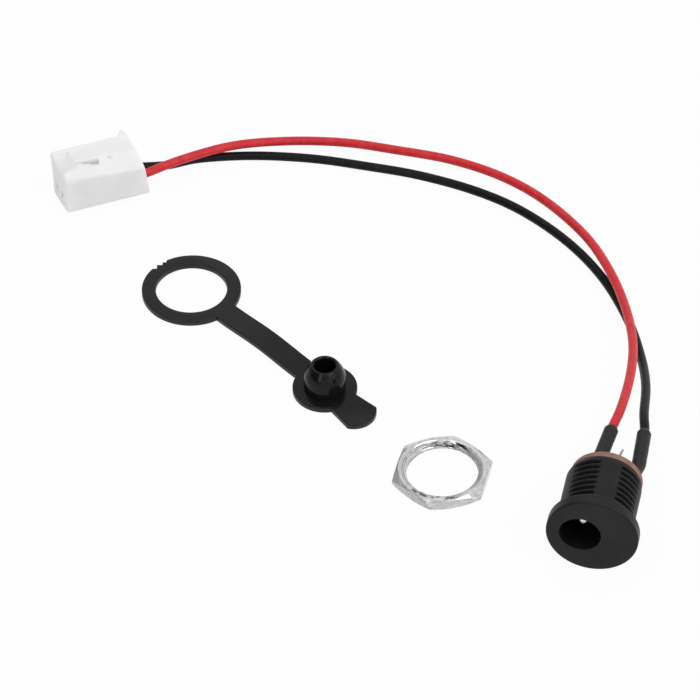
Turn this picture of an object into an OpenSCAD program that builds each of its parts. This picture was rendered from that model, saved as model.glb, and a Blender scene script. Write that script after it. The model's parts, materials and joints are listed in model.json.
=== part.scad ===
// Panel-mount charging socket with its lead, panel nut and dust cap, laid out on a table.
// The socket lies on its side with its mouth towards -Y, and +Z is up from the table.

/* [Socket body] */
// Diameter of the front flange
flange_d = 14; // [13:0.1:18]
// Thickness of the front flange
flange_t = 1.9; // [1.2:0.1:2.2]
// Chamfer on the rim of the flange
flange_edge = 0.3; // [0.1:0.05:0.5]
// Diameter of the barrel over its thread
barrel_d = 11.6; // [11.4:0.1:12.6]
// Depth of the body from the flange's front face to its rear end
body_len = 11.6; // [11:0.1:14]
// Length of the lead-in chamfer at the rear of the barrel
rear_chamfer_len = 0.8; // [0.5:0.1:1.5]
// How far the nut's thread reaches into the barrel's thread
thread_reach = 0.25; // [0.15:0.05:0.3]
// Diameter of the plug mouth
mouth_d = 6.3; // [6:0.05:6.5]
// Depth of the plug mouth
mouth_len = 2.6; // [2:0.1:2.8]
// Diameter of the chamber behind the mouth
chamber_d = 6.8; // [6.7:0.05:6.9]
// Offset of the mouth from the flange's centre
mouth_shift = 1.8; // [1.6:0.1:2]

/* [Socket contacts] */
// How far the back plate's rim stands in from the nut's hole, which passes over it
plate_inset = 0.05; // [0.05:0.05:0.2]
// How far the back plate sits off the socket's axis, towards the black lead
plate_shift = 0.2; // [0:0.05:0.2]
// Thickness of the back plate
plate_t = 1; // [0.6:0.1:1.6]
// Diameter of the centre pin
pin_d = 2.1; // [1.9:0.1:2.5]
// Depth of the pin's tip behind the flange's front face
pin_depth = 2.75; // [2.75:0.05:4]
// Diameter of the pin's collar on the back plate
collar_d = 3.2; // [2.8:0.1:3.6]
// Thickness of the pin's collar
collar_t = 0.6; // [0.4:0.1:1]
// Diameter of the pin's riveted tail
tail_d = 1.2; // [1:0.1:1.4]
// Diameter of the rivet head
rivet_d = 1.8; // [1.6:0.1:1.9]
// Thickness of the rivet head
rivet_t = 0.4; // [0.3:0.1:0.5]
// Thickness of the contact strip
strip_t = 0.3; // [0.2:0.05:0.35]
// Width of the solder lugs
lug_w = 1.7; // [1.5:0.05:1.75]
// Length of the soldered lugs behind the back plate
lug_len = 5; // [4.5:0.1:5.3]
// Length of the unused switch lug behind the back plate, up to its bend
switch_lug_len = 3.6; // [3:0.1:4]
// Length of the switch lug beyond its bend
switch_tip_len = 1.7; // [1.2:0.1:2.8]
// Diameter of the plug that the spring presses on
plug_barrel_d = 5.5; // [5.4:0.05:5.6]
// How far the spring reaches into the plug's space
spring_press = 0.2; // [0.1:0.05:0.4]

/* [Leads] */
// Outside diameter of the insulated wires
wire_d = 1.5; // [1.3:0.05:1.55]
// Outside diameter of the heat-shrink sleeves
sleeve_d = 2.25; // [2.25:0.05:2.4]
// Wall of the heat-shrink sleeves
sleeve_wall = 0.2; // [0.15:0.01:0.22]
// Length of the tapered end of the sleeves
sleeve_taper = 0.55; // [0.4:0.05:1.2]
// Distance from the back plate to the end of the red wire's sleeve
red_sleeve_end = 9.7; // [9:0.1:12]
// Distance from the back plate to the end of the black wire's sleeve
black_sleeve_end = 10.5; // [9:0.1:12]
// Diameter of the solder joints
solder_d = 1.6; // [1.4:0.05:1.7]
// Length of the solder joints
solder_len = 2.4; // [1.8:0.1:2.6]

/* [Lead connector] */
// Length of the connector housing
housing_len = 13.8; // [12:0.1:17]
// Width of the connector housing
housing_w = 7.2; // [6.6:0.1:9]
// Height of the connector housing
housing_h = 7.8; // [7:0.1:9]
// Distance between the contact cavities
pitch = 2.5; // [2.4:0.05:2.8]
// Height of the cavities above the housing's base
cavity_h = 2.3; // [1.6:0.1:2.6]
// Width of a contact's socket
contact_w = 1.6; // [1.5:0.05:1.7]
// Length of a contact's socket
contact_len = 5.5; // [4:0.1:6]
// Square entry for the mating pin
entry_w = 0.9; // [0.8:0.05:1.2]
// Thickness of the wall in front of the contacts
end_wall = 0.8; // [0.6:0.1:1.2]
// Length of a contact's crimp
crimp_len = 3; // [2:0.1:3.5]
// Depth of the latch ramp on top of the mating end, beside the near rail
ramp_depth = 2; // [1.2:0.1:2.4]
// Depth of the latch ramp beside the far rail
ramp_far_depth = 0.7; // [0.4:0.1:2]
// Length of the latch ramp
ramp_len = 2.7; // [2:0.1:3.6]
// Width of the slot beside the latch arm, where it leaves the ramp
slot_w = 0.35; // [0.25:0.05:0.6]
// Width of the slot beside the latch arm, at its end
slot_end_w = 0.7; // [0.5:0.05:1.2]
// Length of the slot beside the latch arm
slot_len = 4.2; // [3:0.1:5]
// Depth of the slot beside the latch arm
slot_depth = 1.6; // [1:0.1:1.9]
// How far the grip lip stands out behind the housing
lip_out = 1.6; // [0.5:0.1:2]
// Thickness of the grip lip at its edge
lip_t = 0.55; // [0.4:0.05:1]
// Thickness of the grip lip at its root
lip_root_t = 1.7; // [1.2:0.1:2.4]
// Height of the grip lip
lip_h = 3.6; // [2:0.1:4.5]

/* [Panel nut] */
// Width across the flats of the nut
nut_flats = 14; // [13.8:0.1:17]
// Thickness of the nut
nut_t = 1.9; // [1.5:0.1:3]
// Diameter of the countersink at each face of the nut
nut_sink_d = 12.7; // [12:0.1:13]
// Depth of the countersink
nut_sink_t = 0.4; // [0.2:0.05:0.6]
// Diameter of the flat ring on each face of the nut
nut_face_d = 13.6; // [13.4:0.1:13.7]
// Slope of the nut's corner chamfers
nut_chamfer_angle = 30; // [20:1:32]

/* [Dust cap] */
// Outside diameter of the cap's ring
ring_d = 16; // [15:0.1:18]
// Hole in the cap's ring
ring_hole_d = 11.5; // [10.5:0.1:12.5]
// Thickness of the rubber sheet
sheet_t = 1; // [0.7:0.05:1.5]
// Width of the strap
strap_w = 4; // [3:0.1:4.6]
// Offset of the strap to the left of the line from ring to disc
strap_shift = 0.4; // [0:0.1:0.6]
// Distance from the ring's centre to the disc's centre
strap_len = 31.5; // [28:0.5:36]
// Diameter of the cap's disc
disc_d = 10.2; // [9:0.1:12]
// Diameter of the cap's plug where it leaves the disc
plug_root_d = 6.65; // [6.4:0.05:6.8]
// Diameter of the plug where its end begins to round
plug_d = 6.4; // [6.2:0.05:6.5]
// Height of the plug's side, up to where its end begins to round
plug_side_h = 2.4; // [1.6:0.1:3]
// Height of the plug above the disc
plug_h = 4.5; // [4:0.1:5.5]
// Diameter of the plug's rounded end
plug_rim_d = 4.3; // [4.1:0.1:5]
// Hole in the end of the plug
plug_hole_d = 3.4; // [3:0.1:3.6]
// Depth of the hole in the plug
plug_hole_depth = 4; // [3:0.1:4.4]
// Length of the pull tab from the disc's centre
tab_len = 10.5; // [10:0.1:12]
// Width of the pull tab at its root
tab_root_w = 4; // [3.5:0.1:5]
// Width of the pull tab at its end
tab_end_w = 6.4; // [5:0.1:6.6]
// Radius of the pull tab's end
tab_end_r = 3.6; // [3.4:0.1:6.5]
// Turn of the pull tab to the right of the strap's line
tab_turn = 2.5; // [0:0.5:6]
// Radius of each bite in the ring's torn edge
tear_r = 0.55; // [0.4:0.05:0.7]

/* [Layout] */
// Socket's centre line, along X
socket_x = 37; // [34:0.5:42]
// Socket's front face, along Y
socket_y = -27.8; // [-30:0.1:-26]
// Nut's centre, along X
nut_x = 11.6; // [8:0.1:14]
// Nut's centre, along Y
nut_y = -13.2; // [-16:0.1:-10]
// Turn of the nut about its hole
nut_turn = 27.5; // [0:0.5:60]
// Cap ring's centre, along X
ring_x = -36; // [-38:0.1:-34]
// Cap ring's centre, along Y
ring_y = 19.8; // [17:0.1:20]
// Direction of the cap's strap
cap_turn = -34.7; // [-40:0.1:-30]
// Connector's near lower corner at its mating end, along X
connector_x = -60.2; // [-64:0.1:-58]
// Connector's near lower corner at its mating end, along Y
connector_y = 33.3; // [30:0.1:36]
// Direction of the connector
connector_turn = 33.4; // [30:0.1:40]
// How far the wires roll the connector onto its far edge
connector_roll = 8; // [0:0.5:12]

/* [Hidden] */
$fn = 64;

// Clearances: a tail in its hole, a strip in its slot, a part in its cavity, parts that nearly touch
hole_gap = 0.05;
slot_gap = 0.05;
cavity_gap = 0.2;
contact_gap = 0.12;
// How far a cut runs past a face, and into the next cut
cut = 1;
overlap = 0.1;

// Places in the socket, measured from the centre of the flange's front face
socket_z = flange_d / 2;
nut_hole_d = barrel_d - 2 * thread_reach;
rear_d = nut_hole_d;
plate_d = nut_hole_d - 2 * plate_inset;
plate_rear = body_len + plate_t;
pin_x = -mouth_shift;
strip_z = 0.6;
room_wall = 0.8;
room_front_wall = 0.6;
spring_room_x = barrel_d / 2 - room_wall;
spring_room_front = mouth_len + room_front_wall;
sleeve_lug_x = spring_room_x - cavity_gap - strip_t / 2;
switch_lug_x = pin_x + plug_barrel_d / 2 + strip_t / 2 + contact_gap;
fold_y = spring_room_front + strip_t / 2 + cavity_gap;
bump_from_rear = 4;
bump_y = body_len - bump_from_rear;
switch_reach = 1.8;
lug_base_w = 2.2;
pin_tip_chamfer = 0.4;

// Each lead: its lug's place on the back plate, its lean to the right, and its sleeve's start and end
red_lug_shift = 0.1;
red_lug_z = 1.2;
red_lean = 6.3;
black_lean = -2;
sleeve_gap = 0.3;
red_lead = [[pin_x + red_lug_shift, red_lug_z], red_lean, strip_t + rivet_t + sleeve_gap, red_sleeve_end];
black_lead = [[sleeve_lug_x, strip_z], black_lean, sleeve_gap, black_sleeve_end];
solder_on_lug = 1.6;
solder_start = lug_len - solder_on_lug;
wire_start = solder_start + solder_len;
switch_lean = 9;
switch_twist = 22;

// Connector cavities
connector_z = housing_w * sin(connector_roll);
cavity_w = contact_w + 2 * cavity_gap;
red_cavity_y = (housing_w - pitch) / 2;
black_cavity_y = (housing_w + pitch) / 2;
contact_start = end_wall + cavity_gap;
crimp_end = contact_start + contact_len + crimp_len;
mating_shoulder = 1.6;
wire_shoulder = 2.8;
wire_end_slant = 4.3;
rail_w = 1.2;
back_rail_w = 0.9;
ramp_low = 0.25;
slot_start_y = 2.3;
slot_end_y = 1.85;
slot_end_slant = 0.45;
notch_x = 8.3;
notch_y = 2.1;
notch_len = 1.5;
notch_w = 0.5;
notch_depth = 0.9;

// Places on the wires' way, from the socket to the connector
red_route = [
    [37, 0, 7.8], [37, 9, 6.3], [36, 18, 4.6], [33.5, 27, 3.3], [29.5, 36, 2.6], [24, 45, 1.5],
    [16, 53, 0.8], [8, 57.5, 0.8], [-1, 60, 0.8], [-10.5, 60.5, 0.9], [-19.5, 60, 1.4],
    [-28.5, 57.5, 2.2], [-37, 53.5, 3], [-44.5, 48, 3.2]];
black_route = [
    [40.5, 0, 6.9], [39.5, 9, 4.2], [37.5, 18, 1.5], [34, 27, 0.8], [28.5, 36, 0.8],
    [21.5, 43.5, 0.8], [13, 49.5, 0.8], [4.5, 53, 0.8], [-5.5, 55, 0.8], [-15, 55.5, 0.8],
    [-24, 55.5, 0.8], [-33.5, 54, 1], [-42, 51, 1.4], [-47, 47.8, 1.7]];
tube_sides = 8;
tube_steps = 2;

// A point on a lead's centre line, at a distance behind the back plate
function lead_point(lead, distance) =
    [socket_x + lead[0][0] + distance * sin(lead[1]),
     socket_y + plate_rear + distance * cos(lead[1]),
     socket_z + lead[0][1]];

// The end of a lug, seen from above in the socket
function lug_end(lead, length) =
    [lead[0][0] + length * sin(lead[1]), plate_rear + length * cos(lead[1])];

// A point in the connector: along it from its mating end, across from its near side, and up
function connector_point(along, across, up) =
    let (side = across * cos(connector_roll) + up * sin(connector_roll))
    [connector_x + along * cos(connector_turn) - side * sin(connector_turn),
     connector_y + along * sin(connector_turn) + side * cos(connector_turn),
     connector_z - across * sin(connector_roll) + up * cos(connector_roll)];

// A wire's whole way: straight in its sleeve, along its route, and straight into its cavity
function wire_way(lead, route, cavity_y) = concat(
    [lead_point(lead, wire_start), lead_point(lead, lead[3])], route,
    [connector_point(housing_len, cavity_y, cavity_h), connector_point(crimp_end, cavity_y, cavity_h)]);

// A smooth curve through four points, between the middle two
function curve_point(a, b, c, d, t) =
    (2 * b + (c - a) * t + (2 * a - 5 * b + 4 * c - d) * t * t + (3 * b - a - 3 * c + d) * t * t * t) / 2;
function smooth_way(way) =
    let (last = len(way) - 1)
    concat([way[0]],
        [for (i = [1:last - 2], k = [0:tube_steps - 1])
            curve_point(way[i - 1], way[i], way[i + 1], way[i + 2], k / tube_steps)],
        [way[last - 1], way[last]]);
function unit(run) = run / norm(run);
function tube_ring(way, i, radius) =
    let (ahead = unit(way[min(i + 1, len(way) - 1)] - way[max(i - 1, 0)]),
         aside = unit(cross([0, 0, 1], ahead)),
         above = cross(ahead, aside))
    [for (k = [0:tube_sides - 1])
        way[i] + radius * (cos(360 * k / tube_sides) * aside + sin(360 * k / tube_sides) * above)];

// A point on one side of a bent strip, half its thickness off its way and mitred at the bends
function strip_edge(points, i, side) =
    let (last = len(points) - 1,
         before = unit(points[max(i, 1)] - points[max(i, 1) - 1]),
         after = unit(points[min(i, last - 1) + 1] - points[min(i, last - 1)]),
         along = unit(before + after),
         across = [-along[1], along[0]])
    points[i] + side * strip_t / 2 / (along * before) * across;

module tube(way, diameter) {
    rings = len(way);
    points = [for (i = [0:rings - 1]) each tube_ring(way, i, diameter / 2)];
    walls = [for (i = [0:rings - 2], k = [0:tube_sides - 1])
        let (next = (k + 1) % tube_sides, here = i * tube_sides, there = here + tube_sides)
        each [[here + k, there + k, there + next], [here + k, there + next, here + next]]];
    first_end = [for (k = [0:tube_sides - 1]) k];
    last_end = [for (k = [tube_sides - 1:-1:0]) (rings - 1) * tube_sides + k];
    polyhedron(points, concat([first_end], walls, [last_end]));
}

module at_socket() {
    translate([socket_x, socket_y, socket_z]) children();
}

// A round bar along the socket's axis, from one depth to another
module bar(x, z, d, from, to) {
    translate([x, from, z]) rotate([-90, 0, 0]) cylinder(d = d, h = to - from);
}

// A turned shape whose profile runs from the axis outwards, with its length along +Y
module turned(profile) {
    rotate([-90, 0, 0]) rotate_extrude() polygon(profile);
}

// A bent strip seen from above, through the given points
module strip(points, width) {
    last = len(points) - 1;
    translate([0, 0, -width / 2]) linear_extrude(width) polygon(concat(
        [for (i = [0:last]) strip_edge(points, i, 1)],
        [for (i = [last:-1:0]) strip_edge(points, i, -1)]));
}

// Everything on a lead is drawn along +Y from its lug's root on the back plate
module on_lead(lead) {
    translate([lead[0][0], plate_rear, lead[0][1]]) rotate([0, 0, -lead[1]]) children();
}

module flat_lug() {
    translate([-lug_w / 2, strip_t / 2, -strip_t / 2]) cube([lug_w, lug_len - strip_t / 2, strip_t]);
}

module upright_lug() {
    translate([-strip_t / 2, 0, -lug_w / 2]) cube([strip_t, lug_len, lug_w]);
}

module jack_body() {
    color("#2d2d2e") at_socket() difference() {
        union() {
            turned([[0, 0], [flange_d / 2 - flange_edge, 0], [flange_d / 2, flange_edge],
                    [flange_d / 2, flange_t], [0, flange_t]]);
            bar(0, 0, barrel_d, flange_t, body_len - rear_chamfer_len);
            translate([0, body_len - rear_chamfer_len, 0]) rotate([-90, 0, 0])
                cylinder(d1 = barrel_d, d2 = rear_d, h = rear_chamfer_len);
        }
        bar(pin_x, 0, mouth_d, -cut, mouth_len + overlap);
        bar(pin_x, 0, chamber_d, mouth_len, body_len + cut);
        translate([pin_x, spring_room_front, strip_z - lug_w / 2 - cavity_gap])
            cube([spring_room_x - pin_x, body_len, lug_w + 2 * cavity_gap]);
    }
}

module back_plate() {
    color("#96705a") at_socket() difference() {
        bar(plate_shift, 0, plate_d, body_len, plate_rear);
        bar(pin_x, 0, tail_d + 2 * hole_gap, body_len - cut, plate_rear + cut);
        for (x = [sleeve_lug_x, switch_lug_x])
            translate([x - strip_t / 2 - slot_gap, body_len - cut, strip_z - lug_w / 2 - slot_gap])
                cube([strip_t + 2 * slot_gap, plate_t + 2 * cut, lug_w + 2 * slot_gap]);
    }
}

module centre_pin() {
    color("#c9c7c0") at_socket() translate([pin_x, 0, 0])
        turned([[0, pin_depth], [pin_d / 2 - pin_tip_chamfer, pin_depth],
                [pin_d / 2, pin_depth + pin_tip_chamfer], [pin_d / 2, body_len - collar_t],
                [collar_d / 2, body_len - collar_t], [collar_d / 2, body_len],
                [tail_d / 2, body_len], [tail_d / 2, plate_rear + strip_t],
                [rivet_d / 2, plate_rear + strip_t], [rivet_d / 2, plate_rear + strip_t + rivet_t],
                [0, plate_rear + strip_t + rivet_t]]);
}

module pin_lug() {
    base_top = red_lead[0][1] + strip_t / 2;
    color("#b9b6ad") at_socket() {
        difference() {
            translate([pin_x - lug_base_w / 2, plate_rear, -lug_base_w / 2])
                cube([lug_base_w, strip_t, base_top + lug_base_w / 2]);
            bar(pin_x, 0, tail_d + 2 * hole_gap, plate_rear - cut, plate_rear + cut);
        }
        on_lead(red_lead) flat_lug();
    }
}

module sleeve_spring() {
    bump_x = pin_x + plug_barrel_d / 2 - spring_press + strip_t / 2;
    free_x = switch_lug_x + strip_t + contact_gap;
    fold_w = (sleeve_lug_x - bump_x) / 2;
    corner = fold_w / 4;
    color("#c9b27a") at_socket() translate([0, 0, strip_z]) strip([
        lug_end(black_lead, lug_len), [sleeve_lug_x, plate_rear], [sleeve_lug_x, fold_y + corner],
        [sleeve_lug_x - corner, fold_y], [sleeve_lug_x - fold_w + corner, fold_y],
        [sleeve_lug_x - fold_w, fold_y + corner], [bump_x, bump_y],
        [free_x, body_len - switch_reach], [free_x, body_len - switch_reach / 2]], lug_w);
}

module switch_contact() {
    bend_y = plate_rear + switch_lug_len;
    color("#b9b6ad") at_socket() translate([0, 0, strip_z]) {
        strip([[switch_lug_x, body_len - switch_reach], [switch_lug_x, bend_y]], lug_w);
        translate([switch_lug_x, bend_y, 0]) rotate([0, switch_twist, -switch_lean])
            translate([-strip_t / 2, -strip_t, -lug_w / 2])
            cube([strip_t, switch_tip_len + strip_t, lug_w]);
    }
}

module solder_joint(lead) {
    color("#aeb0b3") at_socket() on_lead(lead) difference() {
        bar(0, 0, solder_d, solder_start, wire_start);
        children();
    }
}

module red_solder_joint() {
    solder_joint(red_lead) flat_lug();
}

module black_solder_joint() {
    solder_joint(black_lead) upright_lug();
}

module heat_shrink(lead) {
    bore_r = sleeve_d / 2 - sleeve_wall;
    end_r = wire_d / 2 + hole_gap;
    color("#373534") at_socket() on_lead(lead)
        turned([[bore_r, lead[2]], [sleeve_d / 2, lead[2]], [sleeve_d / 2, lead[3] - sleeve_taper],
                [end_r + sleeve_wall / 2, lead[3]], [end_r, lead[3]], [bore_r, lead[3] - sleeve_taper]]);
}

module red_heat_shrink() {
    heat_shrink(red_lead);
}

module black_heat_shrink() {
    heat_shrink(black_lead);
}

module red_wire() {
    color("#d7323c") tube(smooth_way(wire_way(red_lead, red_route, red_cavity_y)), wire_d);
}

module black_wire() {
    color("#343234") tube(smooth_way(wire_way(black_lead, black_route, black_cavity_y)), wire_d);
}

// In the connector, X runs from the mating end to the wires, Y from the near side, and Z up
module in_connector() {
    translate([connector_x, connector_y, connector_z]) rotate([0, 0, connector_turn])
        rotate([-connector_roll, 0, 0]) children();
}

// The wire end slants, so the housing is longest at its near lower edge: X is 0 on that end
module at_wire_end() {
    translate([housing_len, housing_w / 2, housing_h / 2]) rotate([0, -wire_end_slant, wire_end_slant])
        translate([0, -housing_w / 2, -housing_h / 2]) children();
}

// The housing's outline at one end, with a shoulder along its near top edge
module housing_end(x, thickness, shoulder) {
    translate([x, 0, 0]) rotate([90, 0, 90]) linear_extrude(thickness)
        polygon([[0, 0], [housing_w, 0], [housing_w, housing_h], [shoulder, housing_h],
                 [0, housing_h - shoulder]]);
}

module cavity(y) {
    translate([end_wall, y - cavity_w / 2, cavity_h - cavity_w / 2])
        cube([housing_len, cavity_w, cavity_w]);
    translate([-cut, y - entry_w / 2, cavity_h - entry_w / 2]) cube([housing_len, entry_w, entry_w]);
}

module connector_housing() {
    skin = 0.01;
    slot_end = ramp_len + slot_len;
    color("#e8e8e6") in_connector() difference() {
        union() {
            hull() {
                housing_end(0, skin, mating_shoulder);
                at_wire_end() housing_end(-skin, skin, wire_shoulder);
            }
            at_wire_end() translate([0, housing_w, housing_h - lip_h]) linear_extrude(lip_h)
                polygon([[0, -overlap], [-lip_root_t, -overlap], [-lip_root_t, 0], [-lip_t, lip_out],
                         [0, lip_out]]);
        }
        cavity(red_cavity_y);
        cavity(black_cavity_y);
        hull() for (corner = [[-cut, rail_w, ramp_depth], [-cut, housing_w - back_rail_w, ramp_far_depth],
                              [ramp_len, rail_w, ramp_low], [ramp_len, housing_w - back_rail_w, ramp_low]])
            translate([corner[0], corner[1], housing_h - corner[2]])
                cube([skin, skin, corner[2] + cut]);
        translate([0, 0, housing_h - slot_depth]) linear_extrude(slot_depth + cut)
            polygon([[ramp_len - overlap, slot_start_y - slot_w / 2],
                     [slot_end - slot_end_slant, slot_end_y - slot_end_w / 2],
                     [slot_end, slot_end_y + slot_end_w / 2],
                     [ramp_len - overlap, slot_start_y + slot_w / 2]]);
        translate([notch_x, notch_y + notch_w, housing_h]) rotate([90, 0, 0]) linear_extrude(notch_w)
            polygon([[0, cut], [0, -notch_depth], [notch_len, 0], [notch_len, cut]]);
    }
}

// A crimped contact: a square socket, then a round crimp on the wire
module terminal(y) {
    color("#c8b070") in_connector() translate([contact_start, y, cavity_h]) difference() {
        union() {
            translate([0, -contact_w / 2, -contact_w / 2]) cube([contact_len, contact_w, contact_w]);
            translate([contact_len, 0, 0]) rotate([0, 90, 0]) cylinder(d = wire_d, h = crimp_len);
        }
        translate([-cut, -entry_w / 2, -entry_w / 2]) cube([contact_len, entry_w, entry_w]);
    }
}

module positive_terminal() {
    terminal(red_cavity_y);
}

module negative_terminal() {
    terminal(black_cavity_y);
}

module panel_nut() {
    corner_r = nut_flats / 2 / cos(30);
    rise = (corner_r - nut_face_d / 2) * tan(nut_chamfer_angle);
    color("#c4c6c8") translate([nut_x, nut_y, 0]) rotate([0, 0, nut_turn]) difference() {
        intersection() {
            cylinder(r = corner_r, h = nut_t, $fn = 6);
            rotate_extrude() polygon([
                [0, 0], [nut_face_d / 2, 0], [corner_r, rise], [corner_r, nut_t - rise],
                [nut_face_d / 2, nut_t], [0, nut_t]]);
        }
        translate([0, 0, -cut]) cylinder(d = nut_hole_d, h = nut_t + 2 * cut);
        translate([0, 0, nut_t - nut_sink_t])
            cylinder(d1 = nut_hole_d, d2 = nut_sink_d, h = nut_sink_t);
        cylinder(d1 = nut_sink_d, d2 = nut_hole_d, h = nut_sink_t);
    }
}

// The cap's plug: a tapered side that holds in the mouth, and a rounded hollow end
module cap_plug() {
    end_h = plug_h - plug_side_h;
    round_end = [for (t = [0:10:90])
        [plug_rim_d / 2 + (plug_d - plug_rim_d) / 2 * cos(t), plug_side_h + end_h * sin(t)]];
    rotate_extrude() polygon(concat(
        [[0, -sheet_t / 2], [plug_root_d / 2, -sheet_t / 2], [plug_root_d / 2, 0]], round_end,
        [[plug_hole_d / 2, plug_h], [plug_hole_d / 2, plug_h - plug_hole_depth],
         [0, plug_h - plug_hole_depth]]));
}

module dust_cap() {
    // Angle of each bite in the ring's torn edge, and its centre's distance beyond the rim
    tear_at = [[137, 0.35], [143, 0], [152, 0]];
    color("#323232") translate([ring_x, ring_y, 0]) difference() {
        rotate([0, 0, cap_turn]) {
            difference() {
                union() {
                    cylinder(d = ring_d, h = sheet_t);
                    translate([0, strap_shift - strap_w / 2, 0]) cube([strap_len, strap_w, sheet_t]);
                }
                translate([0, 0, -cut]) cylinder(d = ring_hole_d, h = sheet_t + 2 * cut);
            }
            translate([strap_len, 0, 0]) {
                cylinder(d = disc_d, h = sheet_t);
                rotate([0, 0, -tab_turn]) linear_extrude(sheet_t) intersection() {
                    polygon([[0, -tab_root_w / 2], [tab_len, -tab_end_w / 2],
                             [tab_len, tab_end_w / 2], [0, tab_root_w / 2]]);
                    translate([tab_len - tab_end_r, 0]) union() {
                        circle(r = tab_end_r);
                        translate([-tab_len, -tab_len]) square([tab_len, 2 * tab_len]);
                    }
                }
                translate([0, 0, sheet_t]) cap_plug();
            }
        }
        for (bite = tear_at) rotate([0, 0, bite[0]])
            translate([ring_d / 2 + bite[1], 0, -cut]) cylinder(r = tear_r, h = sheet_t + 2 * cut);
    }
}

jack_body();
back_plate();
centre_pin();
pin_lug();
sleeve_spring();
switch_contact();
red_solder_joint();
black_solder_joint();
red_heat_shrink();
black_heat_shrink();
red_wire();
black_wire();
connector_housing();
positive_terminal();
negative_terminal();
panel_nut();
dust_cap();
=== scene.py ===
import json
from math import asin, atan2, ceil, cos, pi, radians, sin, sqrt, tan

import bmesh
import bpy
from mathutils import Matrix, Vector, noise

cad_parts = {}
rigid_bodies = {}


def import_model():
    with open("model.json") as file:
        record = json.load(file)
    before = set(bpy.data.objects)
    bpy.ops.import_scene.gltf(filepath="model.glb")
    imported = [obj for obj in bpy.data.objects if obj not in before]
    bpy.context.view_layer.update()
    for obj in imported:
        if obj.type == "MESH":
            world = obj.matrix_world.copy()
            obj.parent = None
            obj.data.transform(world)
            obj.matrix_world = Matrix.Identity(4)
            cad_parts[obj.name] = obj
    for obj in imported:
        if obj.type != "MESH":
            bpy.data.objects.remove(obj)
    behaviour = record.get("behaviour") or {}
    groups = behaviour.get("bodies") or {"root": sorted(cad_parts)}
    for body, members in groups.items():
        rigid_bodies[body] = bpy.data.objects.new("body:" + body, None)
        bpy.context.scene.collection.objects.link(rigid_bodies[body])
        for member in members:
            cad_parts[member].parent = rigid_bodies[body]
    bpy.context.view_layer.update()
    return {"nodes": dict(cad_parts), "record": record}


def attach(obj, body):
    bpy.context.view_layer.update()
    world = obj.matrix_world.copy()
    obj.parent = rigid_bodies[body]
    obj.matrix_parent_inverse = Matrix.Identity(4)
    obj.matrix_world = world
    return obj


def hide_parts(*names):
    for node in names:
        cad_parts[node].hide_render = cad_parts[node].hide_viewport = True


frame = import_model()
scene = bpy.context.scene
scene.view_settings.view_transform = "Standard"
mm = 0.001
print("frame loaded:", len(frame["nodes"]), "nodes")


# a node's output, so that sums in a tree read as sums
class Value:
    def __init__(self, tree, output):
        self.tree = tree
        self.output = output

    def __getitem__(self, name):
        return Value(self.tree, self.output.node.outputs[name])

    def __add__(self, other):
        return self.tree.maths("ADD", self, other)

    __radd__ = __add__

    def __sub__(self, other):
        return self.tree.maths("SUBTRACT", self, other)

    def __rsub__(self, other):
        return self.tree.maths("SUBTRACT", other, self)

    def __mul__(self, other):
        return self.tree.maths("MULTIPLY", self, other)

    __rmul__ = __mul__

    def __truediv__(self, other):
        return self.tree.maths("DIVIDE", self, other)

    def __abs__(self):
        return self.tree.maths("ABSOLUTE", self)

    def swing(self, amount):
        # a noise that goes as far below nought as above it
        return (self - 0.5) * amount

    def smooth(self, low, high):
        return self.tree.node("ShaderNodeMapRange", {"Value": self, "From Min": low, "From Max": high},
                              interpolation_type="SMOOTHSTEP")

    def smoothMm(self, low, high):
        return self.smooth(low * mm, high * mm)


# one node tree: node() makes a node, sets it up and feeds its sockets
class Tree:
    def __init__(self, nodeTree):
        self.nodes = nodeTree.nodes
        self.links = nodeTree.links

    def feed(self, node, values):
        for name, value in values.items():
            if isinstance(value, Value):
                self.links.new(value.output, node.inputs[name])
            else:
                node.inputs[name].default_value = value

    def node(self, kind, values=None, **settings):
        made = self.nodes.new(kind)
        for name, setting in settings.items():
            setattr(made, name, setting)
        self.feed(made, values or {})
        live = [output for output in made.outputs if output.enabled]
        return Value(self, live[0]) if live else None

    def maths(self, operation, *terms):
        return self.node("ShaderNodeMath", dict(enumerate(terms)), operation=operation)

    def mix(self, factor, first, second):
        colours = [(*c, 1) if isinstance(c, tuple) else c for c in (first, second)]
        return self.node("ShaderNodeMix", {0: factor, 6: colours[0], 7: colours[1]}, data_type="RGBA")

    def axes(self, vector):
        return self.node("ShaderNodeSeparateXYZ", {0: vector})

    def stretched(self, place, scale):
        return self.node("ShaderNodeMapping", {"Vector": place, "Scale": scale})

    def cloud(self, place, scale, detail=3, rough=0.55):
        return self.node("ShaderNodeTexNoise", {"Vector": place, "Scale": scale, "Detail": detail,
                                                "Roughness": rough})

    def bump(self, height, depth, strength):
        return self.node("ShaderNodeBump", {"Height": height, "Distance": depth * mm, "Strength": strength})


# Materials: noise sizes are waves in a metre, depths and places are millimetres

def grey(tone):
    return (tone, tone, tone)


def emptyTree(owner):
    owner.use_nodes = True
    tree = Tree(owner.node_tree)
    tree.nodes.clear()
    return tree


def newFinish(name, fixed):
    finish = bpy.data.materials.new(name)
    finish.use_nodes = True
    tree = Tree(finish.node_tree)
    shader = tree.nodes["Principled BSDF"]
    tree.feed(shader, fixed)
    return finish, tree, shader, tree.node("ShaderNodeTexCoord")["Object"]


mould = {"clouds": 260, "fine": 5200, "dust": 2300, "deep": (0.004, 0.004, 0.0041),
         "soft": (0.008, 0.008, 0.0082), "dusty": (0.03, 0.03, 0.031), "dustShare": 0.3,
         "mattOver": 0.5, "mattRough": 0.12, "pale": (0.013, 0.013, 0.0132), "paleOver": 22,
         "cut": (0.028, 0.028, 0.029), "cutOver": 0.1, "cutRough": 0.2}


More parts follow.
